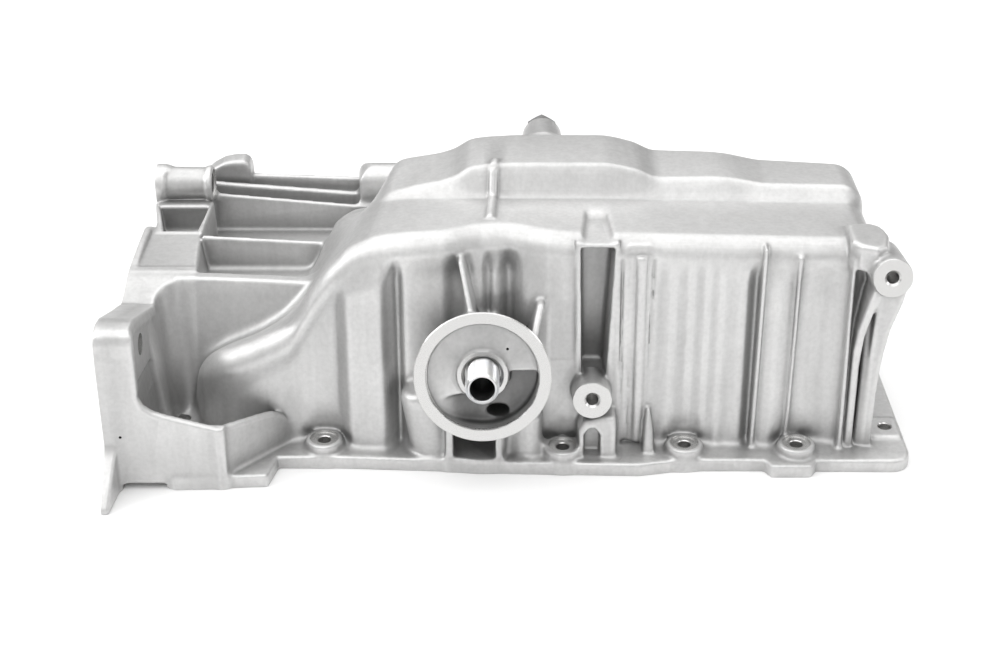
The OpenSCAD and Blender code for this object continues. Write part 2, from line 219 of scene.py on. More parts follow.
# Outside of the sump. Each side is a distance: to the fluted wall, which leans back and stands out by the
# relief along the length, to the floor with its slope and raised block, and to the far wall and the ends.
relief = [
    (-190, -1), (-142, -3), (-126, -5), (-112, -5), (-100, -4), (-96, 0), (-93, 3), (-84, 4.5), (-74, 4.5),
    (-70, 0), (-65.5, -7), (-61, -2), (-57, -2.5), (-39, -4), (-34, -8), (-27, -9), (-23, -4.5),
    (-18.5, -4.5), (-15, -10.5), (-11, -7), (-8, -9), (-3.5, -14), (0, -12), (4, -2.5), (7, -1), (35, -0.5),
    (58, 0), (81, -1.6), (88, 0.7), (93.5, -1.2), (98, 0.8), (103, -1.3), (107, 0.7), (111, -0.9), (115, 0.6),
    (119, -0.4), (126, 0.4), (129, 0), (132, -4), (134.8, -5.5), (137.5, 0), (140, 1.5), (146, 2), (150, 0.8),
    (156, -2), (162, -2.6), (173, -4), (181, -2), (186, 0), (192, -3), (203, -3)
]
setback = [(-190, 0), (-60, 0), (-38, 3), (-20, 11), (-6, 13), (4, 9), (20, 3), (35, 0), (203, 0)]
slope_near = [
    (-192, 52), (-178, 54), (-168, 60), (-150, 67), (-125, 79), (-116, 97), (-106, 112), (-94, 124),
    (-78, 131), (-60, 135), (203, 135)
]
slope_middle = [
    (-192, 4), (-187, 26), (-180, 37), (-169, 45), (-150, 53), (-135, 63), (-119, 81), (-106, 105),
    (-93, 122), (-78, 131), (-60, 135), (203, 135)
]
slope_far = [
    (-192, 4), (-150, 50), (-135, 64), (-128, 74), (-124, 86), (-120, 93), (-114, 98), (-107, 100.6),
    (-98, 102.5), (-94, 106), (-89, 118), (-85, 128), (-81, 133.5), (-76, 135), (203, 135)
]
raised = [
    (-88, 0), (-80, 1), (-62, 3), (-44, 6), (-35, 9), (-26, 15), (-17, 16.5), (0, 17.5), (54, 17.5),
    (63, 16), (72, 14), (77, 11.5), (82, 9.5), (99, 10), (117, 10.5), (126, 10), (135, 8.5),
    (144, 7), (203, 7)
]


def floor_height(x, y):
    """Height of the floor: a slope along x that turns from its near to its far form across y, levelled at
    the floor's level, falling a little to the timing end, with the raised block added past a ramp in y."""
    shifted = x - 0.0011 * np.maximum(np.minimum(y, 40) + 74, 0) ** 2
    slope = curve(slope_near, shifted, 3.0)
    slope = slope + (curve(slope_middle, shifted, 3.0) - slope) * ease((y + 74) / 50)
    slope = slope + (curve(slope_far, shifted, 2.5) - slope) * ease((y + 20) / 45)
    step = curve(raised, x) * ease((y + 22) / 12) * ease((x + 90) / 20)
    return lesser(slope, floor_level + 0 * slope, 6.0) - 0.022 * np.maximum(x - 50, 0) + step


x2, z2 = along[:, None].astype(float), up[None, :].astype(float)
top_near = floor_height(along.astype(float), -74.0)[:, None]
high = ease((z2 - top_near + 38) / 32)
fades = ease((z2 - top_near + 26) / 18)
stands_out = curve(relief, along, 1.1)[:, None] * (1 - fades) - curve(setback, along)[:, None] * high
# Two faint flat patches of the wall: one right of the filter pad, one left of it
panel = -0.35 * ease((x2 - 19) / 1.5) * ease((34 - x2) / 1.5) * ease((z2 - 60) / 1.5)
panel += 0.3 * ease((x2 + 83) / 1.5) * ease((-66 - x2) / 1.5) * ease((61 - z2) / 1.5)
wall_line = wall_foot + (z2 - flange) * lean - stands_out - panel
gx, gz = np.gradient(wall_line, grid_step)
steep = np.sqrt(1 + gx * gx + gz * gz)
front = ((wall_line[:, None, :] - across[None, :, None]) / steep[:, None, :]).astype(np.float32)
floor = floor_height(x2, across[None, :].astype(float))
gx, gy = np.gradient(floor, grid_step)
steep = np.sqrt(1 + gx * gx + gy * gy)
top = ((up[None, None, :] - floor[:, :, None]) / steep[:, :, None]).astype(np.float32)
x3, y3, z3 = along[:, None, None], across[None, :, None], up[None, None, :]
nose = (-(x3 + 176) * 38 - (y3 + 80) * 13) / math.hypot(38, 13)
left = np.maximum(nose, -(x3 + 190))
far_edge = 38 - 0.09 * np.maximum(along - 60, 0)
far_height = floor_height(along.astype(float), 30.0)
far = y3 - (far_edge[:, None, None] + 0.1 * (far_height[:, None, None] - z3))
ledge = np.minimum(58, far_height - 14)[:, None, None]
sides = rounded_corner(front, left + 0 * front, 20)
sump = rounded_corner(rounded_corner(sides, top, 11.5), far, 8)
lower = rounded_corner(rounded_corner(sides, z3 - ledge, 6), y3 - 82, 7)
lower = greater(lower, -30 - y3, 4)
sump = lesser(sump, lower, 14)
sump = rounded_corner(sump, x3 - 202 + 0 * sump, 13).astype(np.float32)
del front, top, sides, lower, far
for bolt in near_bolts + far_bolts:
    part, x, y, z = room((bolt[0] - 12, bolt[1] - 12, 4), (bolt[0] + 12, bolt[1] + 12, 40))
    clear = rod(bolt + (0,), (0, 0, 1), 12.2 - 0.45 * np.maximum(z - 8, 0), -9, 50, x, y, z, 4)
    sump[part] = greater(sump[part], -clear, 9)
metal[:] = np.maximum(np.maximum(sump, -(sump + wall)), -z3)

# Pocket behind the slot, inside the sump, and the block flange with the seats of its bolts
slot_box = [(33.2, 132), (57.8, 132), (55, 36), (34.4, 36)]
melt((31, -86, 34), (59, -46, 133),
     lambda x, y, z: greater(outline(slot_box, x, z), between(upright(y, z), -84.5, -46), 2.5), 1.2)
flange_edge = [
    (-226, -115), (-193, -115), (-190, -120), (-138, -117), (-134, -98), (-99, -98), (-45, -101),
    (0, -104), (71, -106), (95, -101), (141.5, -101), (145.5, -107.5), (167.5, -107.5), (171.5, -101.5)
] + arc((214.6, -91), 11, -90, 0, 6) + arc((215.6, 92), 10, 0, 90, 6) + [
    (178, 101), (120, 101), (71, 104), (0, 101), (-70, 101), (-80, 121), (-226, 121)
]
flange_mouth = [(-174, -8), (-160, -60), (-148, -74), (189, -74), (189, 72), (-174, 72)]
melt((-226, -121, -1), (226, 121, flange),
     lambda x, y, z: greater(rounded_corner(outline(flange_edge, x, y), 0 * y + z - flange, 1.5),
                             -outline(flange_mouth, x, y) + 4, 3), 6)
for bolt in near_bolts + far_bolts:
    melt((bolt[0] - 9, bolt[1] - 9, 0), (bolt[0] + 9, bolt[1] + 9, 13),
         lambda x, y, z: rod(bolt + (0,), (0, 0, 1), 11.2 - 0.05 * z, -1, 13.2, x, y, z, 1.5), 3)
melt((205, -77, 0), (226, -56, 9),
     lambda x, y, z: greater(greater(between(x, 205, 224.6), between(y, -79, -56), 5), z - 9.2, 1.5), 1.5)
for bolt in end_bolts[1:3]:
    melt((bolt[0] - 9, bolt[1] - 9, 0), (bolt[0] + 9, bolt[1] + 9, 9),
         lambda x, y, z: rod(bolt + (0,), (0, 0, 1), 8.5, -1, 8.8, x, y, z, 1.5), 2)

# Transmission end: upright flange, its leaning inner side, the two lugs, and the wall on the near side
bell_edge = [(-145, -1), (-145, 3), (-119, 29)] + arc((-109, 88), 10, 180, 90, 6) + [
    (-99, 97), (-45, 77), (-34, 79), (-22, 83), (-6, 86), (17, 87), (38, 87), (45, 84.5), (49, 72), (78, 72)
] + arc(far_lug, 11.6, 200, 35, 8) + [(119, 84), (119, 29), (145, 3), (145, -1)]
melt((-227, -145, -1), (-217, 145, 106),
     lambda x, y, z: rounded_corner(outline(bell_edge, y, z), between(
         x, -227.5, -217 - 5 * ease((z - 66) / 8) * ease((y + 26) / 5) * ease((88 - y) / 5)
         - (2.4 - 0.09 * (y + 117)) * ease((-116 - y) / 3)), 1.5), 4)
inner_side = [(-224, 1), (-224, 77), (-207.4, 77), (-203.6, 44), (-199, 8), (-199, 1)]
melt((-224, -117, 1), (-198, -18, 78),
     lambda x, y, z: greater(greater(outline(inner_side, x + 3.8 * ease((-44 - y) / 14), z),
                                     between(y, -116, -20), 2), (y + 99) * 0.44 + (z - 96), 3), 9)
lug_edge = [(-116, 95), (-108, 97), (-99, 96.5), (-59.9, 77), (-50, 52), (-107, 62), (-116, 62)]
plate((-224, -116, 48), (-208, -43, 96), lug_edge, "yz", -224, -206.8, 1.6, 1.5)
post = [(-227, 0), (-227, 88), (-222.5, 97), (-208, 97.5), (-205.5, 95), (-205.5, 58), (-203, 52),
        (-198, 48.5), (-191, 46), (-165, 38.5), (-160, 38), (-160, 0)]
melt((-227, -119, 0), (-160, -114, 98),
     lambda x, y, z: np.maximum(greater(outline(post, x, z), between(y, -119, -114), 1.8),
                                rounded_corner(-119 - y, z - 98.5, 8)), 4)
roof = [(-119, 84), (-119, 91), (-117.5, 95.4), (-114.8, 97.8), (-111, 98.5), (-106, 98.5), (-99, 97),
        (-45, 77), (-46.5, 72), (-99, 91), (-107, 92), (-112, 90), (-114, 84)]
plate((-226, -119, 72), (-206.5, -45, 98.5), roof, "yz", bell_face, -206.5, 1.2, 2)
turn = (math.cos(math.radians(49)), math.sin(math.radians(49)))
return_edge = [(-1, 0), (-1, 38), (8, 37), (33, 32.5), (42, 30.5), (49, 26), (53.5, 19), (56, 0)]
melt((-164, -121, 0), (-122, -76, 38),
     lambda x, y, z: greater(outline(return_edge, (x + 163) * turn[0] + (y + 119) * turn[1], z),
                             between((y + 119) * turn[0] - (x + 163) * turn[1], 0, 5), 1.8), 3)
melt((-226, 80, 82), (-191, 104, 106),
     lambda x, y, z: rod((-209, *far_lug), (1, 0, 0), 10.4 - 0.02 * (x + 209), -17, 17, x, y, z, 1), 2)
melt((-222, 78, 60), (-193, 97, 85),
     lambda x, y, z: greater(greater(between(x, -224, -194), between(y, 78, 98), 2),
                             between(z, 58, 84.9), 1.5), 2)
melt((-227, 80, 82), (-220, 104, 106),
     lambda x, y, z: rod((-224, *far_lug), (1, 0, 0), 12, -3, 4, x, y, z, 1.5), 2)
melt((-196, 80, 82), (-190, 104, 106),
     lambda x, y, z: rod((-192.7, *far_lug), (1, 0, 0), 11.4, -2, 2, x, y, z, 1.5), 2)

# Deck over the transmission end: plate, longitudinal ribs, raised land, small framed pocket, ear
deck_edge = [(-22, 66), (33, 64.5), (97, 59), (116, 58), (116, 54), (42, 55), (30, 60), (-22, 61.5)]
plate((-222, -22, 54), (-103, 116, 66), deck_edge, "yz", -222, -100, 2, 4)
back_wall = [(-24, 84.5), (-16, 84.5), (-16, 60), (-37, 2), (-46, 2), (-46, 8)]
melt((-198, -46, 2), (-108, -16, 85),
     lambda x, y, z: greater(greater(outline(back_wall, y, z), between(x, -198, -104), 2),
                             z - 84.5 + 0.045 * np.maximum(x + 186, 0), 1.5), 8)


def rib(low, high, ends, faces, foot, crest, edge, fillet, draft=0):
    """Melts a rib along x on: between two ends and two faces, which part by the draft below 85 mm, from its
    foot to a crest given as its height at one x and its fall along x from there."""
    def form(x, y, z):
        spread = draft * (85 - z) if draft else 0
        height = crest[0] - crest[2] * (x - crest[1])
        return greater(between(y, faces[0] - spread, faces[1] + spread),
                       np.maximum(between(x, *ends), between(z, foot, height)), edge)
    melt(low, high, form, fillet)


rib((-196, 26, 58), (-98, 32, 85), (-189.5, -96), (28.75 - 1.6, 28.75 + 1.6), 58, (86.3, -188, 0.056), 1.5, 5,
    draft=0.03)
rib((-222, 94, 54), (-90, 100, 85), (-222, -84), (97 - 1.7, 97 + 1.7), 54, (86.8, -219, 0.0916), 1.5, 4,
    draft=0.03)
rib((-226, 114, 0), (-80, 119, 84), (-226, -80), (114, 118.6), 0, (83.9, -192, 0.0823), 1.8, 4)
rib((-205, 118, 52), (-95, 126, 78), (-205, -95), (116, 127), 52, (77, -205, 0.05), 2, 3)
rib((-205, 124, 46), (-95, 130, 86), (-205, -95), (125, 129), 46, (86, -196, 0.037), 2, 3)
melt((-84, 60, 0), (-79, 119, 76),
     lambda x, y, z: greater(between(x, -84, -79), np.maximum(between(y, 60, 119), between(z, 0, 76)), 2), 5)
land = [(-231, -17), (-186, -17), (-190.8, 32), (-191, 46), (-231, 46)]
melt((-231, -17, 58), (-185, 46, 84.5),
     lambda x, y, z: greater(outline(land, x, y) - 0.17 * (84.5 - z), between(z, 58, 84.5), 1.8), 2)


def corner_form(x, y, z):
    """The corner of the deep pocket under the land: past two leaning planes that meet in a hollow arc of
    14 mm, below a top that falls to the near side."""
    past_side = x + 207.4 - (78 - z) * 0.12
    past_back = -(y + 24 + (84.5 - z) * 0.2876)
    corner = -rounded_corner(-past_side, -past_back, 14)
    return greater(corner, z - np.interp(y, (-45, -34, -22, -17), (76.5, 79.5, 83.8, 84.5)), 1.5)


melt((-231, -60, 4), (-186, -12, 84.5),
     lambda x, y, z: np.maximum(corner_form(x, y, z), np.maximum(y + 11, x + 187)), 2)
frame_edge = [(-219, 36), (-190.6, 36), (-189.9, 83), (-227, 83), (-225.6, 75), (-219.5, 44)]
frame_mouth = [(-216, 37), (-192.6, 37), (-190.6, 77), (-225, 77)]
melt((-226, 36, 58), (-189, 83, 86),
     lambda x, y, z: greater(outline(frame_edge, x, y) - 0.03 * (86 - z), between(z, 58, 84.9), 1.5), 2)
core((-225, 37, 66), (-190, 78, 90),
     lambda x, y, z: greater(outline(frame_mouth, x, y) + 0.06 * (86 - z) + 1.5, 66.5 - z, 5), 1.2)
ear = [(-201, 56), (-201, 85.6), (-196, 90), (-189, 93.8), (-183, 95), (-175.5, 95.3), (-172.5, 93.5),
       (-171, 90), (-170.6, 82), (-169, 56)]
plate((-201, 119, 56), (-168, 138, 96), ear, "xz", 123, 138, 2.5, 2)

# Shoulders of the sump over the deck: a low one with a rounded corner that ends the pockets, and one
# behind the third rib
shoulder = [(-70, 20), (-115, 20), (-113.6, 38), (-112.4, 62), (-109.5, 71), (-104, 81.6), (-98, 88),
            (-91, 91), (-70, 92)]
shoulder_rim, shoulder_crest, shoulder_reach = 78, 101, 29


def shoulder_form(x, y, z):
    """Inside the outline, under a top that rises in a rounded curve from its rim to a crest that falls to the
    far side: rim plus crest over rim times one minus the cube of what is left of the way in."""
    inside = -outline(shoulder, x, y)
    rise = shoulder_crest - 0.46 * np.maximum(y - 38, 0) - shoulder_rim
    crown = shoulder_rim + rise * (1 - np.clip(1 - inside / shoulder_reach, 0, 1) ** 3)
    return greater(-inside, (z - crown) * 0.8, 1.5)


melt((-115, 20, 56), (-70, 92, 101), shoulder_form, 4)
behind = [(-98, 98), (-100, 119), (-62, 119), (-62, 98)]
melt((-104, 98, 52), (-62, 119, 100),
     lambda x, y, z: rounded_corner(outline(behind, x, y), z - 99.5 + 0 * x, 10), 5)

# Filter pad on its neck, with the oil gallery that runs down to the joint face, and its braces


def in_pad(x, y, z, place=pad_face):
    """Position beside a face that looks out of the fluted side: to the right, up the face and out of it."""
    u = x - place[0]
    v = (y - place[1]) * up_the_pad[1] + (z - place[2]) * up_the_pad[2]
    return u, v, (y - place[1]) * out_of_pad[1] + (z - place[2]) * out_of_pad[2]


melt((-58, -118, 26), (23, -70, 112),
     lambda x, y, z: rod(pad_face, out_of_pad, 33 + 0.38 * (in_pad(x, y, z)[2] + 12), -42, -9, x, y, z, 2), 5)
melt((-58, -118, 26), (23, -96, 112),
     lambda x, y, z: rod(pad_face, out_of_pad, 38.2 + 0.42 * in_pad(x, y, z)[2], -14.5, 0.8, x, y, z, 1.5), 3)
for foot, tip, wide in (((-45, -85, 0), (-52.5, -87, 48), 12.5), ((-20, -88, 0), (-17, -92, 40), 15)):
    melt((-66, -104, 0), (0, -72, 54), lambda x, y, z: strut(foot, tip, wide, x, y, z, 6), 5)
gallery = [(-38.5, -101), (-7.5, -101), (-7.5, -68), (-38.5, -68)]
plate((-39, -101, 0), (-7, -66, 38), gallery, "xy", 0, 37, 2.5, 4)
melt((-9, -96, 0), (8, -76, 36),
     lambda x, y, z: greater(greater(between(x, -9, 7), between(y, -93.5, -76), 3), z - 36, 3), 3)
melt((-4, -100, 0), (18, -80, 34),
     lambda x, y, z: rod((8, -91, 0), (0, 0.06, 0.998), 8, -1, 33, x, y, z, 4), 6)
brace_left = [(-66, 122.5), (-79, 121.5), (-104, 93), (-104, 60), (-66, 60)]
melt((-36, -106, 60), (-18, -66, 128),
     lambda x, y, z: greater(outline(brace_left, y, z),
                             between(x + (z - 98) * 0.257 + 23.6, -1.6, 1.6), 1.6), 2.5)
brace_right = [(-72, 98.5), (-84, 98.5), (-105, 79), (-105, 50), (-72, 50)]
melt((2, -106, 50), (20, -72, 106),
     lambda x, y, z: greater(outline(brace_right, y, z),
                             between(x - (z - 98.5) * 0.3 - 14.9, -2.2, 2.2), 2.2), 2.5)

# Bracket bosses: one below the slot on a root that runs back into it, one at the timing end on a flared web
melt((30, -102, 30), (58, -60, 60),
     lambda x, y, z: rod(low_boss, out_of_pad, 10.4, -40, 0.7, x, y, z, 1.2), 3)
root = [(36, 0), (36, 24), (39, 30), (49, 32.5), (57, 32), (57.8, 26), (57.8, 0)]
melt((36, -99, 0), (58, -76, 33),
     lambda x, y, z: greater(outline(root, x, z), between(y, -98.5 + 0.1 * (z - 8), -76), 3), 3)
hollow = [(39.5, 8.5), (39.5, 21), (42.5, 25), (45.5, 25), (48.5, 21), (48.5, 8.5)]
core((39, -101, 8), (49, -88, 26),
     lambda x, y, z: greater(outline(hollow, x, z), y + 90.5, 1.5), 1.5)
melt((192, -100, 105), (216, -62, 134),
     lambda x, y, z: rod(high_boss, out_of_pad, 11 + 0 * x, -36, 0.7, x, y, z, 1.2), 2)
cap = [(183, -79), (188, -86), (196, -89.5), (202, -85), (205, -72), (203.9, -64), (202, -59), (197, -55),
       (184, -56)]
plate((182, -90, 118), (206, -54, 135), cap, "xy", 119, 134.5, 2.5, 4)
web_right = [(198, 0), (198, 118), (214, 118), (212.5, 104), (208, 84), (205.5, 60), (204.5, 40), (204.5, 0)]
melt((198, -97, 0), (215, -72, 118),
     lambda x, y, z: greater(outline(web_right, x, z),
                             between(y, -86 - 8 * ease((z - 60) / 60), -72), 2.5), 2.5)
web_left = [(189, 0), (189, 70), (190, 84), (193.5, 104), (197, 118), (201, 118), (197.5, 100), (194, 80),
            (193, 60), (193.5, 0)]
melt((188, -97, 0), (202, -72, 118),
     lambda x, y, z: greater(outline(web_left, x, z), between(y, -87 - 7 * ease((z - 60) / 60), -72), 1.6), 2)
melt((193, -92, 0), (200, -74, 116),
     lambda x, y, z: rod((197.4, -82.5, 0), (0, 0.02, 1), 2.6, -1, 116, x, y, z, 2), 2)
melt((183, -92, 0), (189, -72, 124),
     lambda x, y, z: greater(between(x, 184.6, 186.9),
                             np.maximum(between(y - (z - 8) * lean, -89.5, -72), between(z, 0, 124)), 2), 3)

# Upright fins, framed round rib, the closed slot with its channel over the floor, drain boss, floor bead
for x_fin, thick, stand, z0, z1 in ((136.6, 2.2, 4.2, 0, 130), (156.4, 1.8, 2.2, 14, 124)):
    melt((x_fin - 5, -92, z0), (x_fin + 5, -70, z1),
         lambda x, y, z: greater(between(x - (z - 70) * 0.012, x_fin - thick / 2, x_fin + thick / 2),
                                 np.maximum(between(upright(y, z), wall_foot - stand, -80),
                                            between(z, z0, z1)), 1.6), 2.5)
rib_frame = [(61, 8), (59.3, 60), (58.5, 121), (60.5, 125), (64, 127.2), (73.5, 127.2), (76.3, 125.5),
             (77.6, 121), (75.8, 60), (73.4, 8)]
melt((56, -84, 6), (80, -66, 130),
     lambda x, y, z: greater(outline(rib_frame, x, z) - 3, between(upright(y, z), -82.5, -76.5), 2), 1.5)
core((57, -92, 8), (80, -70, 128),
     lambda x, y, z: greater(outline(rib_frame, x, z),
                             between(upright(y, z) + 0.13 * np.maximum(z - 108, 0), -95, -80.4), 2.5), 1.2)
ridges = ((61.6, 62.2, 1.7, -0.4), (65, 66, 1.9, -0.2), (70, 70.3, 3.4, 1.6), (74.6, 73.3, 1.3, -0.4))
for x_top, x_foot, r, stand in ridges:
    melt((58, -92, 8), (80, -70, 127),
         lambda x, y, z: rod((x_foot, wall_foot + r - stand, 8), (x_top - x_foot, 110 * lean, 110),
                             r, 1, 117.5 - r / 2, x, y, z, 2), 1.2)
stub = [(72.8, 0), (74.2, 24), (75.4, 32), (77, 32), (79, 20), (80.4, 0)]
melt((72, -99, 0), (81, -76, 33),
     lambda x, y, z: greater(outline(stub, x, z), between(y, -98 + 0.38 * z, -76), 2.5), 2)
slot_mouth = [(36.2, 128.5), (55.1, 128.5), (52.4, 72), (51.2, 46), (38.1, 46)]
core((36, -100, 44), (55, -53, 129),
     lambda x, y, z: greater(outline(slot_mouth, x, z) + 1.5, y + 53, 4) - 1.5, 0.8)
melt((30, -102, 30), (58, -70, 60),
     lambda x, y, z: rod(low_boss, out_of_pad, 10.4, -26, 0.7, x, y, z, 1.2), 2)
channel = [(-110, 131.1), (-43.6, 131.1), (-21, 136), (-14, 150), (-110, 150)]
core((36, -96, 128), (56, -20, 145),
     lambda x, y, z: greater(outline(channel, y, z), np.maximum(
         np.interp(y, (-80, -43.6, -21), (36.2, 39.4, 39.4)) - x,
         x - np.interp(y, (-80, -43.6, -21), (55.2, 52.6, 53.0))), 3), 1.2)
melt((5, 34, 126), (30, 61, 152),
     lambda x, y, z: rod(drain_face, (0, 1, 0), 12.5 - 0.03 * (y - 40), -26, 0.7, x, y, z, 2), 4)
bead = ((-13.6, -49, 133.4), (-12.2, -21, 133.8), (-11.6, -12, 149.2), (-10.4, -4, 149.8))
for a, b in zip(bead, bead[1:]):
    melt((-18, -54, 128), (-6, 0, 156), lambda x, y, z: strut(a, b, 2.6, x, y, z, 2), 1.5)

# Inside of the filter face: the oil ring, shallow above and deep below, a side pocket and the centre boss


def oil_ring(x, y, z):
    """A ring between the centre boss and the seal face, deeper below a slanted line, where its floor rises
    to the left, and in a side pocket."""
    u, v, s = in_pad(x, y, z)
    away = np.sqrt(u * u + v * v)
    ring = np.maximum(away - 30.7, 14.2 - away)
    shallow = greater(ring, -4.6 - s, 1.5)
    near_side = np.maximum(v + 7 - 0.2 * u, np.minimum(v + 9 - 0.2 * u, 10 - u) * 0.7)
    side_pocket = np.maximum(v - 2.2, 14 - u)
    deep_floor = -4.6 - 7.9 * ease((u + 27) / 24)
    deep = greater(greater(ring, (deep_floor - s) * 0.9, 2.5), lesser(near_side, side_pocket, 2), 3)
    return lesser(shallow, deep, 0.8)


def oil_hole(x, y, z):
    """A flattened hole at the foot of the deep part: the length of both offsets, each over its half width."""
    u, v, s = in_pad(x, y, z)
    away = (np.sqrt(((u - 8.4) / 6.2) ** 2 + ((v + 24.2) / 3.6) ** 2) - 1) * 3.6
    return greater(away, between(s, -30, -5), 1)


core((-50, -120, 36), (15, -96, 100), oil_ring, 0.8)
core((-30, -120, 54), (-4, -104, 82),
     lambda x, y, z: rod(pad_face, out_of_pad, 15 + 0 * x, -2.6, 6, x, y, z, 0.8), 0.8)
core((-18, -112, 32), (0, -80, 56), oil_hole, 0.8)
window = [(-34.3, 9.3), (-10.7, 9.3), (-10.7, 24.5), (-34.3, 24.5)]
core((-35, -112, 9), (-10, -72, 25),
     lambda x, y, z: greater(outline(window, x, z) + 1.5, y + 73, 3) - 1.5, 1)
core((-70, -97, 50), (-48, -84, 66),
     lambda x, y, z: rod((-53, -98, 56), (0, 1, 0.15), 6.5, -6, 8, x, y, z, 3), 2.5)
for bolt in near_bolts:
    core((bolt[0] - 9, bolt[1] - 9, 13), (bolt[0] + 9, bolt[1] + 9, 32),
         lambda x, y, z: rod(bolt + (0,), (0, 0, 1), 9.3 - 0.1 * (z - 13), 13.4, 32, x, y, z, 3), 1)
core((-218.5, -125, -4), (-194.5, -114, 3.5),
     lambda x, y, z: greater(greater(between(x, -218.5, -194.5), y + 114.3, 1), z - 3.4, 1), 0.8)
bell_mouth = [(-14, 14), (84, 14), (84, 46), (-14, 50)]
core((-226, -20, 10), (-200, 90, 52),
     lambda x, y, z: greater(outline(bell_mouth, y, z) + 3, between(x, -240, -212), 1) - 3, 1.5)


def skin(field):
    """The surface where a field of distances is nought. Every grid cell that it passes gets one point, at
    the mean of its crossings of the cell's edges, and every grid edge that it crosses gets one four-sided
    face from the cells around it."""
    inside = field < 0
    for _ in range(4):
        for a, b in ((0, 1), (0, 2), (1, 2)):
            f = np.moveaxis(inside, (a, b), (0, 1))
            g = np.moveaxis(field, (a, b), (0, 1))
            p, q, r, s = f[:-1, :-1], f[1:, :-1], f[1:, 1:], f[:-1, 1:]
            one = (p == r) & (q == s) & (p != q)
            for sub in (np.s_[:-1, :-1], np.s_[1:, :-1], np.s_[1:, 1:], np.s_[:-1, 1:]):
                g[sub][one & ~f[sub]] = -0.02
            inside = field < 0
    count = sum(inside[i:i - 1 or None, j:j - 1 or None, k:k - 1 or None].astype(np.uint8)
                for i in (0, 1) for j in (0, 1) for k in (0, 1))
    cell = (count > 0) & (count < 8)
    place = np.full(cell.shape, -1, np.int32)
    where = np.argwhere(cell)
    place[cell] = np.arange(len(where))
    total, times = np.zeros((len(where), 3)), np.zeros(len(where))
    for axis in range(3):
        step = np.eye(3, dtype=int)[axis]
        side, rise = np.eye(3, dtype=int)[(axis + 1) % 3], np.eye(3, dtype=int)[(axis + 2) % 3]
        for m in (0, 1):
            for n in (0, 1):
                start = where + m * side + n * rise
                f0 = field[tuple(start.T)]
                f1 = field[tuple((start + step).T)]
                hit = (f0 < 0) != (f1 < 0)
                t = f0[hit] / (f0[hit] - f1[hit])
                total[hit] += start[hit] + t[:, None] * step
                times[hit] += 1
    points = grid_low + grid_step * total / times[:, None]
    faces = []
    for axis in range(3):
        f = np.moveaxis(inside, axis, 0)
        c = np.moveaxis(place, axis, 0)
        for rising in (True, False):
            hit = (f[:-1] & ~f[1:]) if rising else (~f[:-1] & f[1:])
            i, j, k = np.nonzero(hit[:, 1:-1, 1:-1])
            quad = np.stack([c[i, j, k], c[i, j + 1, k], c[i, j + 1, k + 1], c[i, j, k + 1]], axis=1)
            faces.append(quad if rising == (axis != 1) else quad[:, ::-1])
    return points, np.concatenate(faces)


# Nothing is metal at the borders of the grid, so the skin closes
metal[:, :, 0] = metal[:, :, -1] = 5
metal[0] = metal[-1] = metal[:, 0] = metal[:, -1] = 5


def sample(field, points, step=grid_step):
    """The field at points in mm: the eight grid values around each, weighted by nearness on each axis."""
    place = np.clip((points - grid_low) / step, 0, np.array(field.shape) - 1.001)
    base = place.astype(int)
    t = place - base
    value = 0
    for i in (0, 1):
        for j in (0, 1):
            for k in (0, 1):
                weight = (t[:, 0] if i else 1 - t[:, 0]) * (t[:, 1] if j else 1 - t[:, 1])
                weight = weight * (t[:, 2] if k else 1 - t[:, 2])
                value = value + weight * field[base[:, 0] + i, base[:, 1] + j, base[:, 2] + k]
    return value


def mesh_from(name, points, faces, material=None):
    """A mesh object in metres from points in mm and faces, all smooth."""
    mesh = bpy.data.meshes.new(name)
    mesh.from_pydata((np.asarray(points) / 1000).tolist(), [], [list(map(int, f)) for f in faces])
    mesh.shade_smooth()
    if material:
        mesh.materials.append(material)
    obj = bpy.data.objects.new(name, mesh)
    bpy.context.scene.collection.objects.link(obj)
    return obj


def settled(obj):
    """The object's modifiers worked into its mesh."""
    graph = bpy.context.evaluated_depsgraph_get()
    mesh = bpy.data.meshes.new_from_object(obj.evaluated_get(graph), depsgraph=graph)
    obj.modifiers.clear()
    obj.data = mesh
    return obj


def turned(profile, place, axis, sides=64, ring=False):
    """Points and faces of a turned solid. Each (radius, distance) of the profile is one ring about the axis,
    radius times the cosine and sine of even angles; either may change with the angle. The two ends are
    closed by a flat face each, or joined to each other where the profile runs round a hollow part."""
    axis = np.array(axis, float)
    side = np.cross(axis, (0.0, 0.0, 1.0) if abs(axis[2]) < 0.9 else (1.0, 0.0, 0.0))
    side = side / np.sqrt(side @ side)
    other = np.cross(axis, side)
    angle = np.arange(sides) * 2 * math.pi / sides
    round_it = np.cos(angle)[:, None] * side + np.sin(angle)[:, None] * other
    rows = [(np.broadcast_to(r, sides)[:, None], np.broadcast_to(d, sides)[:, None]) for r, d in profile]
    points = np.concatenate([np.array(place) + d * axis + r * round_it for r, d in rows])
    row, col = np.meshgrid(np.arange(len(rows) if ring else len(rows) - 1), np.arange(sides), indexing="ij")
    after, beside = (row + 1) % len(rows), (col + 1) % sides
    here, there = row * sides, after * sides
    faces = np.stack([here + col, here + beside, there + beside, there + col], -1).reshape(-1, 4).tolist()
    if not ring:
        faces += [list(range(sides))[::-1], [sides * (len(rows) - 1) + i for i in range(sides)]]
    return points, faces


def block(low, high):
    """Points and faces of a block between two corners."""
    points = [(low, high)[i][0:1] + (low, high)[j][1:2] + (low, high)[k][2:3]
              for i in (0, 1) for j in (0, 1) for k in (0, 1)]
    faces = [[0, 1, 3, 2], [4, 6, 7, 5], [0, 4, 5, 1], [2, 3, 7, 6], [0, 2, 6, 4], [1, 5, 7, 3]]
    return np.array(points, float), faces


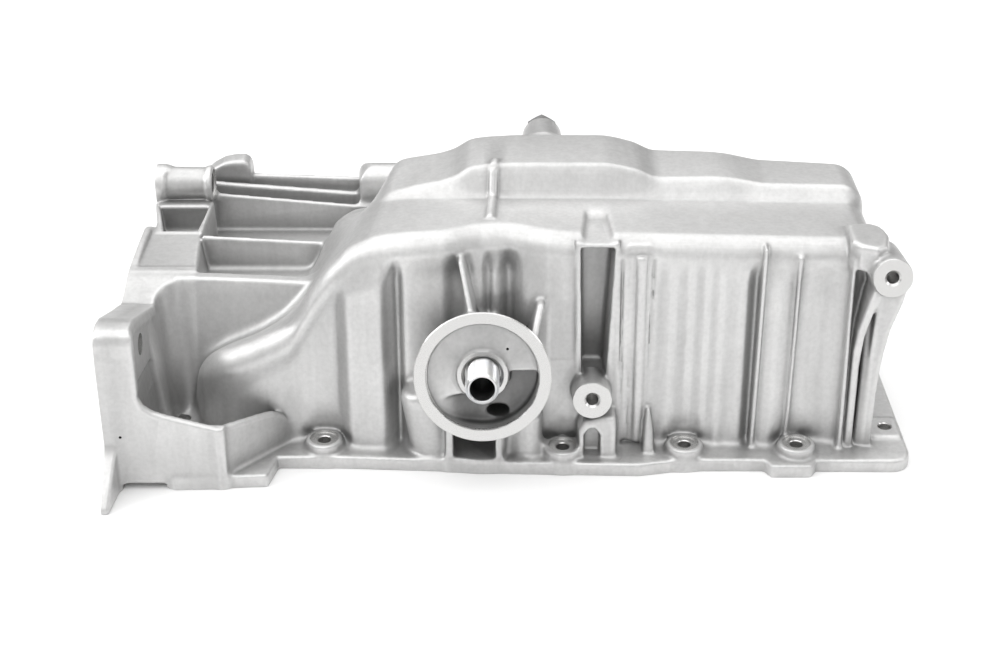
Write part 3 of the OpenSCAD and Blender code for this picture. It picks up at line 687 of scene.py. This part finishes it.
def joined(*solids):
    """Points and faces of several solids in one list each."""
    points, faces, count = [], [], 0
    for p, f in solids:
        points.append(p)
        faces += [[i + count for i in face] for face in f]
        count += len(p)
    return np.concatenate(points), faces


def nodes_of(material):
    """A material's node tree with its Principled shader, and a short way to add and join nodes."""
    material.use_nodes = True
    tree = material.node_tree
    shader = tree.nodes["Principled BSDF"]

    def add(kind, inputs=(), **settings):
        node = tree.nodes.new(kind)
        for name, value in settings.items():
            setattr(node, name, value)
        for name, value in dict(inputs).items():
            if isinstance(value, bpy.types.NodeSocket):
                tree.links.new(value, node.inputs[name])
            else:
                node.inputs[name].default_value = value
        return node

    return tree, shader, add


def ramp(add, value, stops):
    """A colour ramp over a value, from (place, grey) or (place, colour) stops."""
    node = add("ShaderNodeValToRGB", {"Fac": value})
    while len(node.color_ramp.elements) < len(stops):
        node.color_ramp.elements.new(0.5)
    for element, (place, shade) in zip(node.color_ramp.elements, stops):
        element.position = place
        element.color = (*shade, 1) if isinstance(shade, tuple) else (shade, shade, shade, 1)
    return node.outputs["Color"]


# As-cast skin: cloudy light grey with fine grain and faint flow streaks up the walls. A painted highlight
# lightens it where an edge stands out, and painted shade darkens it in creases, corners and pockets and in
# the deep lower part of the filter recess.
cast = bpy.data.materials.new("cast_aluminium")
tree, shader, add = nodes_of(cast)
shader.inputs["Metallic"].default_value = 0.75
place = add("ShaderNodeTexCoord").outputs["Object"]
cloud = add("ShaderNodeTexNoise", {"Vector": place, "Scale": 26.0, "Detail": 5.0, "Roughness": 0.62})
cloud = cloud.outputs["Fac"]
grain = add("ShaderNodeTexNoise", {"Vector": place, "Scale": 1500.0, "Detail": 3.0, "Roughness": 0.6})
pits = add("ShaderNodeTexNoise", {"Vector": place, "Scale": 420.0, "Detail": 2.0}).outputs["Fac"]
drawn = add("ShaderNodeMapping", {"Vector": place, "Scale": (1.0, 1.0, 0.07)}).outputs["Vector"]
streak = add("ShaderNodeTexNoise", {"Vector": drawn, "Scale": 170.0, "Detail": 4.0, "Roughness": 0.55})
streak = streak.outputs["Fac"]
# How the skin bends: drives a painted highlight on standing edges and painted shade in creases
bend = add("ShaderNodeAttribute", attribute_name="bend").outputs["Fac"]
# How open the skin lies: drives painted shade in corners and pockets
open_sky = add("ShaderNodeAttribute", attribute_name="open_sky").outputs["Fac"]
# Painted shade in the deep lower part of the filter recess
wet = add("ShaderNodeAttribute", attribute_name="wet").outputs["Fac"]
greys = [(0.3, (0.61, 0.608, 0.605)), (0.55, (0.65, 0.648, 0.644)), (0.75, (0.69, 0.686, 0.68))]
tone = ramp(add, cloud, greys)
flow = ramp(add, streak, [(0.35, 0.56), (0.62, 0.80)])
tone = add("ShaderNodeMixRGB", {"Fac": 0.15, "Color1": tone, "Color2": flow}).outputs["Color"]
# Multiplied into the grey in turn: painted highlight on edges with painted shade in creases, painted shade in
# corners and pockets, painted shade in the deep filter recess, and random pitting
for value, stops in ((bend, [(0.1, 0.72), (0.4, 0.80), (0.5, 0.84), (0.62, 0.87), (0.9, 1.0)]),
                     (open_sky, [(0.08, 0.62), (0.4, 0.87), (0.7, 1.0)]),
                     (wet, [(0.0, 1.0), (1.0, 0.42)]),
                     (pits, [(0.36, 0.965), (0.5, 1.0), (0.64, 1.03)])):
    darker = {"Fac": 1.0, "Color1": tone, "Color2": ramp(add, value, stops)}
    tone = add("ShaderNodeMixRGB", darker, blend_type="MULTIPLY").outputs["Color"]
tree.links.new(tone, shader.inputs["Base Color"])
rough = add("ShaderNodeMapRange", {"Value": cloud, "From Min": 0.3, "From Max": 0.7, "To Min": 0.50,
                                   "To Max": 0.40})
tree.links.new(rough.outputs["Result"], shader.inputs["Roughness"])
height = add("ShaderNodeMath", {0: pits, 1: 0.6}, operation="MULTIPLY").outputs[0]
height = add("ShaderNodeMath", {0: grain.outputs["Fac"], 1: height}, operation="ADD").outputs[0]
fine = add("ShaderNodeBump", {"Strength": 0.35, "Distance": 0.00012, "Height": height}).outputs["Normal"]
wavy = add("ShaderNodeBump", {"Strength": 0.12, "Distance": 0.0005, "Height": streak, "Normal": fine})
tree.links.new(wavy.outputs["Normal"], shader.inputs["Normal"])

# Machined faces: brighter, with the fine arcs of a face cutter
milled = bpy.data.materials.new("machined_aluminium")
tree, shader, add = nodes_of(milled)
shader.inputs["Metallic"].default_value = 0.95
shader.inputs["Base Color"].default_value = (0.62, 0.617, 0.61, 1)
place = add("ShaderNodeTexCoord").outputs["Object"]
place = add("ShaderNodeMapping", {"Vector": place, "Location": [-v / 1000 for v in pad_face]})
arcs = add("ShaderNodeTexWave", {"Vector": place.outputs["Vector"], "Scale": 1250.0, "Distortion": 1.2,
                                 "Detail": 2.0, "Detail Scale": 0.6}, wave_type="RINGS",
           rings_direction="SPHERICAL").outputs["Fac"]
rough = add("ShaderNodeMapRange", {"Value": arcs, "To Min": 0.24, "To Max": 0.36})
tree.links.new(rough.outputs["Result"], shader.inputs["Roughness"])
lines = add("ShaderNodeBump", {"Strength": 0.06, "Distance": 0.00005, "Height": arcs})
tree.links.new(lines.outputs["Normal"], shader.inputs["Normal"])

# Ink left by the inspector's pen in three small dimples
gauge_ink = bpy.data.materials.new("inspection_ink")
tree, shader, add = nodes_of(gauge_ink)
place = add("ShaderNodeTexCoord").outputs["Object"]
dried = add("ShaderNodeTexNoise", {"Vector": place, "Scale": 800.0, "Detail": 2.0}).outputs["Fac"]
tree.links.new(ramp(add, dried, [(0.3, 0.008), (0.7, 0.02)]), shader.inputs["Base Color"])
shader.inputs["Roughness"].default_value = 0.7

points, quads = skin(metal)
casting = mesh_from("oil_pan_casting", points, quads, cast)
casting.data.materials.append(milled)
casting.data.materials.append(gauge_ink)
lighter = casting.modifiers.new("lighter", "DECIMATE")
lighter.ratio = 0.19
settled(casting)

# Machining, as solids that are cut away: flat faces first, then turned recesses, then holes
to_pad = np.array(out_of_pad)
flats = [block((-240, -160, -8), (240, 160, 0))]
ends = [block((-240, -160, -8), (bell_face, 160, 120))]
recesses, holes = [], []
for bolt in near_bolts + far_bolts:
    flats.append(turned([(7.9, 0), (8.1, 0.4), (8.1, 9)], bolt + (12,), (0, 0, 1), 40))
for bolt in near_bolts + far_bolts + end_bolts:
    seat = 9 if bolt in end_bolts else 12
    holes.append(turned([(4.1, -4), (4.1, 0), (bolt_bore, 0.4), (bolt_bore, seat - 0.5), (4.3, seat + 0.1),
                         (4.3, seat + 3)], bolt + (0,), (0, 0, 1), 32))
flats.append(turned([(37.3, 0), (38.3, -0.9), (41, -0.9), (41, 4)], pad_face, to_pad, 96))
for face in (low_boss, high_boss):
    flats.append(turned([(12.5, 0), (12.5, 3)], face, to_pad, 48))
    holes.append(turned([(bracket_bore, -22), (bracket_bore, -1.1), (4.6, 0), (5.0, 1)], face, to_pad, 32))
recesses.append(turned([(30.9, -3.2), (30.9, -0.5), (31.5, 0.1), (31.5, 2)], pad_face, to_pad, 96))
holes.append(turned([(thread_radius, -24), (thread_radius, -7.5), (9.9, -7.5), (9.9, -6.0), (11.9, -2.9),
                     (11.9, 1)], pad_face, to_pad, 64))
holes.append(turned([(nipple_bore, -40), (nipple_bore, -23)], pad_face, to_pad, 48))
holes.append(turned([(lug_bore, -6), (lug_bore, 27)], (-228, *near_lug), (1, 0, 0), 40))
holes.append(turned([(lug_bore, -6), (lug_bore, 42)], (-228, *far_lug), (1, 0, 0), 40))
recesses.append(turned([(9.0, 0), (9.0, 12)], (-191.6, *far_lug), (1, 0, 0), 40))
flats.append(turned([(13.4, 0), (13.4, 4)], drain_face, (0, 1, 0), 48))
holes.append(turned([(drain_bore, -30), (drain_bore, -0.8), (7.8, 0.05), (7.8, 2)],
                    drain_face, (0, 1, 0), 40))
holes.append(turned([(5.5, -4), (5.5, 45)], (-46, -84, 0), (0, 0, 1), 32))
holes.append(turned([(3.25, -4), (3.25, 27)], (7, -91, 0), (0, 0, 1), 32))
ink_spots = ((22.0, -79.5, 117.5), (-216.9, -119.0, 34.0), (-3.9, -106.3, 82.3))
pins = [turned([(0.8, -1.5), (0.8, 6)], spot, to_pad, 12) for spot in ink_spots]
for name, solids, skin_left in (("flats", flats, milled), ("ends", ends, milled),
                                ("recesses", recesses, milled), ("holes", holes, milled),
                                ("pins", pins, gauge_ink)):
    tool = mesh_from("cutter_" + name, *joined(*solids), skin_left)
    tool.data.shade_flat()
    cut = casting.modifiers.new(name, "BOOLEAN")
    cut.operation, cut.solver, cut.object = "DIFFERENCE", "MANIFOLD", tool
    tool.hide_render = True
settled(casting)
for tool in [o for o in bpy.data.objects if o.name.startswith("cutter_")]:
    bpy.data.objects.remove(tool)

# Shading of the cast skin follows the field itself, so no facet shows. Three values at the points of the
# skin carry painted light into its colour: how it bends, for a painted highlight on standing edges and
# painted shade in creases; how open it lies, for painted shade in corners and pockets; and how deep it lies
# in the lower filter recess, for painted shade there.
mesh = casting.data
where = np.empty(len(mesh.vertices) * 3)
mesh.vertices.foreach_get("co", where)
where = where.reshape(-1, 3) * 1000
shade = metal.copy()
shade[:, :, 0], shade[0] = shade[:, :, 1], shade[1]
slope = np.stack([sample(shade, where + d) - sample(shade, where - d) for d in np.eye(3)], axis=1)
slope /= np.maximum(np.sqrt((slope * slope).sum(axis=1, keepdims=True)), 1e-6)
# How the skin bends, from the field around each point: above a half on standing edges, below it in creases;
# used for a painted highlight and painted shade
near_by = 2.5 * np.eye(3)
around = sum(sample(shade, where + d) + sample(shade, where - d) for d in near_by)
bend = np.clip(0.5 + 0.25 * (around - 6 * sample(shade, where)), 0, 1)
# How open each point lies, from the room left in front of it along its normal: low values give painted shade
room_left, coarse = np.maximum(shade[::2, ::2, ::2], 0), 2 * grid_step
for _ in range(10):
    for axis in range(3):
        one, other = np.moveaxis(room_left, axis, 0)[:-1], np.moveaxis(room_left, axis, 0)[1:]
        np.minimum(other, one + coarse, out=other)
        np.minimum(one, other + coarse, out=one)
reaches = (4.0, 8.0, 14.0, 22.0)
open_sky = sum(np.clip(sample(room_left, where + d * slope, coarse) / d, 0, 1) for d in reaches)
open_sky = open_sky / len(reaches)
# The deep lower part of the oil ring in the filter face, where painted shade darkens the skin
off_face = (where - pad_face) @ np.array([up_the_pad, out_of_pad]).T
from_centre = np.sqrt((where[:, 0] - pad_face[0]) ** 2 + off_face[:, 0] ** 2)
wet = ease((-5 - off_face[:, 1]) / 5) * ease((32 - from_centre) / 1.5) * (off_face[:, 1] > -32)
for name, values in (("bend", bend), ("wet", wet), ("open_sky", open_sky)):
    mesh.attributes.new(name, "FLOAT", "POINT").data.foreach_set("value", values.astype(np.float32))
slots = np.empty(len(mesh.polygons), np.int32)
mesh.polygons.foreach_get("material_index", slots)
sizes = np.empty(len(mesh.polygons), np.int32)
mesh.polygons.foreach_get("loop_total", sizes)
corners = np.empty(len(mesh.loops), np.int32)
mesh.loops.foreach_get("vertex_index", corners)
is_cast = np.repeat(slots == 0, sizes)
mesh.set_sharp_from_angle(angle=math.radians(32))
normals = np.where(is_cast[:, None], slope[corners], 0.0)
mesh.normals_split_custom_set(normals.tolist())
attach(casting, "root")
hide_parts("pan_casting")

# Filter nipple: a hollow steel screw, zinc plated, turned in to half its length in the middle of the filter
# face. The filter's base screws onto the rolled thread that stands out, and the oil returns through its plain
# round bore.


def threaded(radius, depth, pitch, start, end, sides, lead=1.4):
    """Rings of a screw thread: the radius falls by its depth in a rounded zigzag that moves on by one pitch
    in each turn, and by a cone over the lead at both ends."""
    turn = np.arange(sides) / sides
    rows = []
    for d in np.arange(start, end + 0.01, pitch / 8):
        phase = (d / pitch - turn) % 1
        groove = np.clip(np.abs(phase - 0.5) * 2.6 - 0.2, 0, 1)
        cone = np.maximum(np.maximum(lead - (d - start), lead - (end - d)), 0) * 0.8
        rows.append((np.minimum(radius - depth * groove, radius - cone), d))
    return rows


plated = bpy.data.materials.new("zinc_plated_steel")
tree, shader, add = nodes_of(plated)
shader.inputs["Metallic"].default_value = 1.0
place = add("ShaderNodeTexCoord").outputs["Object"]
tint = add("ShaderNodeTexNoise", {"Vector": place, "Scale": 90.0, "Detail": 3.0}).outputs["Fac"]
tint = ramp(add, tint, [(0.35, (0.60, 0.61, 0.63)), (0.6, (0.70, 0.70, 0.69)), (0.75, (0.76, 0.75, 0.71))])
tree.links.new(tint, shader.inputs["Base Color"])
speckle = add("ShaderNodeTexNoise", {"Vector": place, "Scale": 900.0, "Detail": 3.0}).outputs["Fac"]
rough = add("ShaderNodeMapRange", {"Value": speckle, "To Min": 0.22, "To Max": 0.42})
tree.links.new(rough.outputs["Result"], shader.inputs["Roughness"])
tiny = add("ShaderNodeBump", {"Strength": 0.15, "Distance": 0.00005, "Height": speckle})
tree.links.new(tiny.outputs["Normal"], shader.inputs["Normal"])
# Near-black material for the bore: painted shade for the inside of the hollow screw, mottled at random
bore_shade = bpy.data.materials.new("bore_painted_shade")
tree, shader, add = nodes_of(bore_shade)
place = add("ShaderNodeTexCoord").outputs["Object"]
shade_mottle = add("ShaderNodeTexNoise", {"Vector": place, "Scale": 300.0, "Detail": 2.0}).outputs["Fac"]
tree.links.new(ramp(add, shade_mottle, [(0.3, 0.012), (0.7, 0.03)]), shader.inputs["Base Color"])
shader.inputs["Roughness"].default_value = 0.55
filter_pitch = 25.4 / 16
rolled = threaded(thread_radius, 0.85, filter_pitch, -21.6, 16.5, 96)
mouth = [(8.1, 16.6), (7.9, 16.95), (7.3, 17.0), (6.9, 16.75), (nipple_bore, 16.2), (nipple_bore, -21.4),
         (7.0, -21.9), (7.6, -21.9)]
nipple = mesh_from("filter_nipple_steel", *turned(rolled + mouth, pad_face, to_pad, 96, ring=True), plated)
nipple.data.materials.append(bore_shade)
# The faces of the round bore get the painted-shade material
bored = np.zeros(len(nipple.data.polygons), np.int32)
bore_row = len(rolled) + 4
bored[bore_row * 96:(bore_row + 1) * 96] = 1
nipple.data.polygons.foreach_set("material_index", bored)
nipple.data.set_sharp_from_angle(angle=math.radians(40))
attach(nipple, "root")
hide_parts("filter_nipple")

# Drain plug: a forged steel screw with a flange under its hexagon, screwed into the boss at the far side of
# the raised floor block.


def hexagon(width, sides):
    """Radius of a hexagon at even angles: half its width over the cosine of the angle from the middle of
    a flat."""
    angle = (np.arange(sides) * 360 / sides + 30) % 60 - 30
    return width / 2 / np.cos(np.radians(angle))


grip = hexagon(17, 96)
head_rows = (4.0, 6.0, 8.0, 9.4, 9.9, 10.3, 10.7, 11.05, 11.3)
head = [(np.minimum(grip, 8.55 + (11.4 - d) * 1.7), d) for d in head_rows]
plug_rows = threaded(drain_bore, 0.9, 1.5, -14, 1.2, 96) + [
    (6.4, 1.5), (10.2, 1.52), (10.5, 1.8), (10.5, 2.9), (10.1, 3.4), (grip + 0.4, 3.6)
] + head + [(8.3, 11.4), (6.2, 11.4), (5.6, 11.0), (2.0, 11.0)]
plug = mesh_from("drain_plug_steel", *turned(plug_rows, drain_face, (0, 1, 0), 96), plated)
plug.data.set_sharp_from_angle(angle=math.radians(40))
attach(plug, "root")
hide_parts("drain_plug")

# Drain washer: a soft aluminium ring, pressed flat between the plug's flange and the machined boss. It seals
# the thread and is renewed each time the plug is taken out.
dull = bpy.data.materials.new("soft_aluminium")
tree, shader, add = nodes_of(dull)
shader.inputs["Metallic"].default_value = 0.9
place = add("ShaderNodeTexCoord").outputs["Object"]
worn = add("ShaderNodeTexNoise", {"Vector": place, "Scale": 240.0, "Detail": 4.0}).outputs["Fac"]
tree.links.new(ramp(add, worn, [(0.3, 0.52), (0.7, 0.68)]), shader.inputs["Base Color"])
rough = add("ShaderNodeMapRange", {"Value": worn, "To Min": 0.38, "To Max": 0.6})
tree.links.new(rough.outputs["Result"], shader.inputs["Roughness"])
washer = mesh_from("drain_washer_ring", *turned(
    [(drain_bore, 0.25), (7.25, 0.02), (10.6, 0.02), (10.9, 0.2), (11.0, 0.5), (11.0, 1.0), (10.9, 1.3),
     (10.6, 1.48), (7.25, 1.48), (drain_bore, 1.25)], drain_face, (0, 1, 0), 96, ring=True), dull)
washer.data.set_sharp_from_angle(angle=math.radians(50))
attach(washer, "root")
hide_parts("drain_washer")

# Studio: a pale paper floor that the joint face lies on, a white surround, a broad soft light overhead and
# three soft panels in front and at the sides.
paper = bpy.data.materials.new("studio_paper")
tree, shader, add = nodes_of(paper)
place = add("ShaderNodeTexCoord").outputs["Object"]
mottle = add("ShaderNodeTexNoise", {"Vector": place, "Scale": 3.0, "Detail": 2.0}).outputs["Fac"]
tree.links.new(ramp(add, mottle, [(0.3, 0.94), (0.7, 0.95)]), shader.inputs["Base Color"])
shader.inputs["Roughness"].default_value = 0.9
half, below = 6000, -0.2
sheet = mesh_from("studio_floor", [(-half, -half, below), (half, -half, below), (half, half, below),
                                   (-half, half, below)], [[0, 1, 2, 3]], paper)
sheet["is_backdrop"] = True
world = bpy.data.worlds.new("studio")
bpy.context.scene.world = world
world.use_nodes = True
world.node_tree.nodes["Background"].inputs["Color"].default_value = (1.0, 0.995, 0.985, 1)
world.node_tree.nodes["Background"].inputs["Strength"].default_value = 0.30
pan_middle = Vector((0, 0, 0.06))
for name, kind, spot, size, watts in (("sky", "SUN", (-0.15, 0.12, 1.0), 1.7, 2.7),
                                      ("front", "AREA", (0.0, -1.7, 1.3), 2.0, 10),
                                      ("left", "AREA", (-1.5, -0.3, 0.9), 0.8, 8),
                                      ("right", "AREA", (1.5, -0.4, 0.8), 0.6, 4)):
    lamp = bpy.data.lights.new(name, kind)
    lamp.energy = watts
    if kind == "SUN":
        lamp.angle = size
    else:
        lamp.size = size
    light = bpy.data.objects.new(name, lamp)
    bpy.context.scene.collection.objects.link(light)
    light.location = spot
    light.rotation_euler = (pan_middle - Vector(spot)).to_track_quat("-Z", "Y").to_euler()
bpy.context.scene.view_settings.view_transform = "Standard"
lens = bpy.data.cameras.new("camera")
lens.lens, lens.sensor_width, lens.clip_end = 64.08, 36, 30
camera = bpy.data.objects.new("camera", lens)
bpy.context.scene.collection.objects.link(camera)
camera.location = (-0.008, -0.9526, 0.5517)
camera.rotation_euler = (math.radians(61.5), 0, 0)
bpy.context.scene.camera = camera

low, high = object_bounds()
